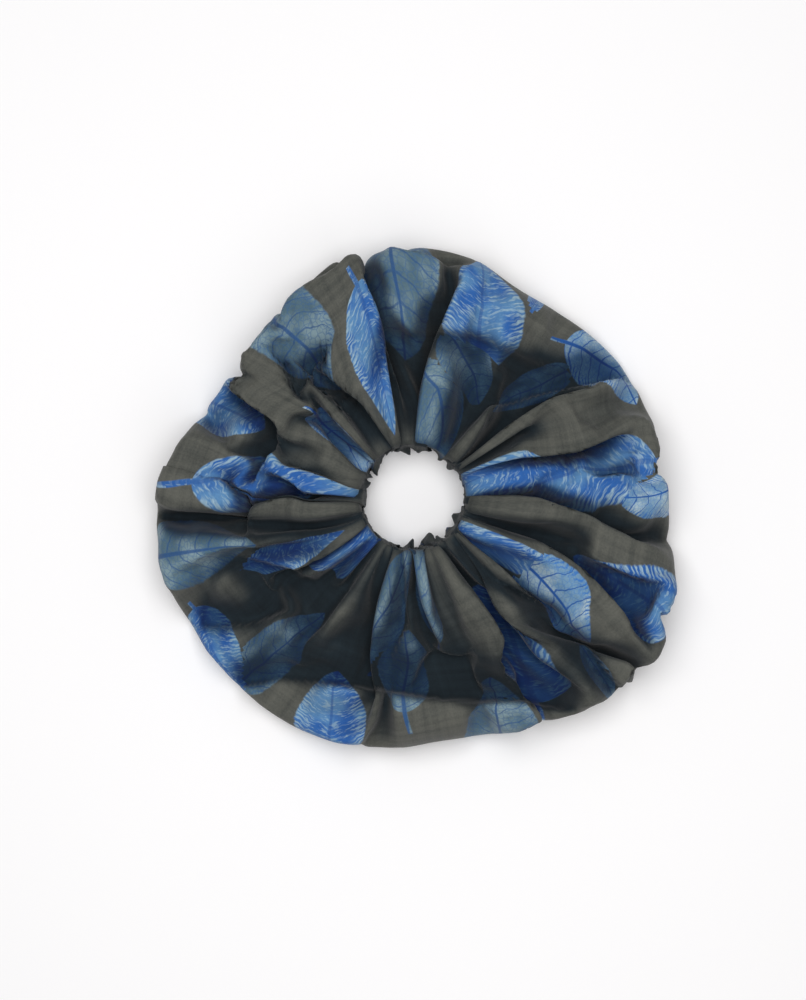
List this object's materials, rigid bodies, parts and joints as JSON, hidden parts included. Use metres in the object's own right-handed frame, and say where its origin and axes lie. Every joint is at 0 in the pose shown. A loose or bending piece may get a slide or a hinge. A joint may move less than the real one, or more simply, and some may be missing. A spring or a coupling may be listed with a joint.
{
  "type": "fabric scrunchie",
  "caption": "Oversized fabric scrunchie: a gathered, printed cotton tube over a stretchy loop of flat braided elastic, with a round hair hole.",
  "frame": {"origin": "on the surface the scrunchie lies on, under the middle of its outline", "axes": "+Z along the hair hole's axis, up; +X away from the closing seam, the direction of the stretch; +Y across"},
  "size_m": [0.1554, 0.151, 0.0292],
  "materials": {
    "printed_fabric": "matt plain-weave cotton printed with blue leaves",
    "elastic": "white braided elastic",
    "thread": "dark polyester sewing thread",
    "white_thread": "white polyester sewing thread"
  },
  "bodies": {
    "left_half": {"cover_left": "printed_fabric", "elastic_left": "elastic", "seam_allowance_left": "printed_fabric", "long_seam_stitches_left": "thread", "closing_hem": "printed_fabric", "closing_seam_stitches": "thread", "elastic_joint_stitches": "white_thread"},
    "right_half": {"cover_right": "printed_fabric", "elastic_right": "elastic", "seam_allowance_right": "printed_fabric", "long_seam_stitches_right": "thread"}
  },
  "joints": [
    {"name": "stretch", "type": "slide", "parent": "left_half", "child": "right_half", "axis": [1, 0, 0], "range_m": [0, 0.075], "stiffness_N_per_m": 130}
  ]
}
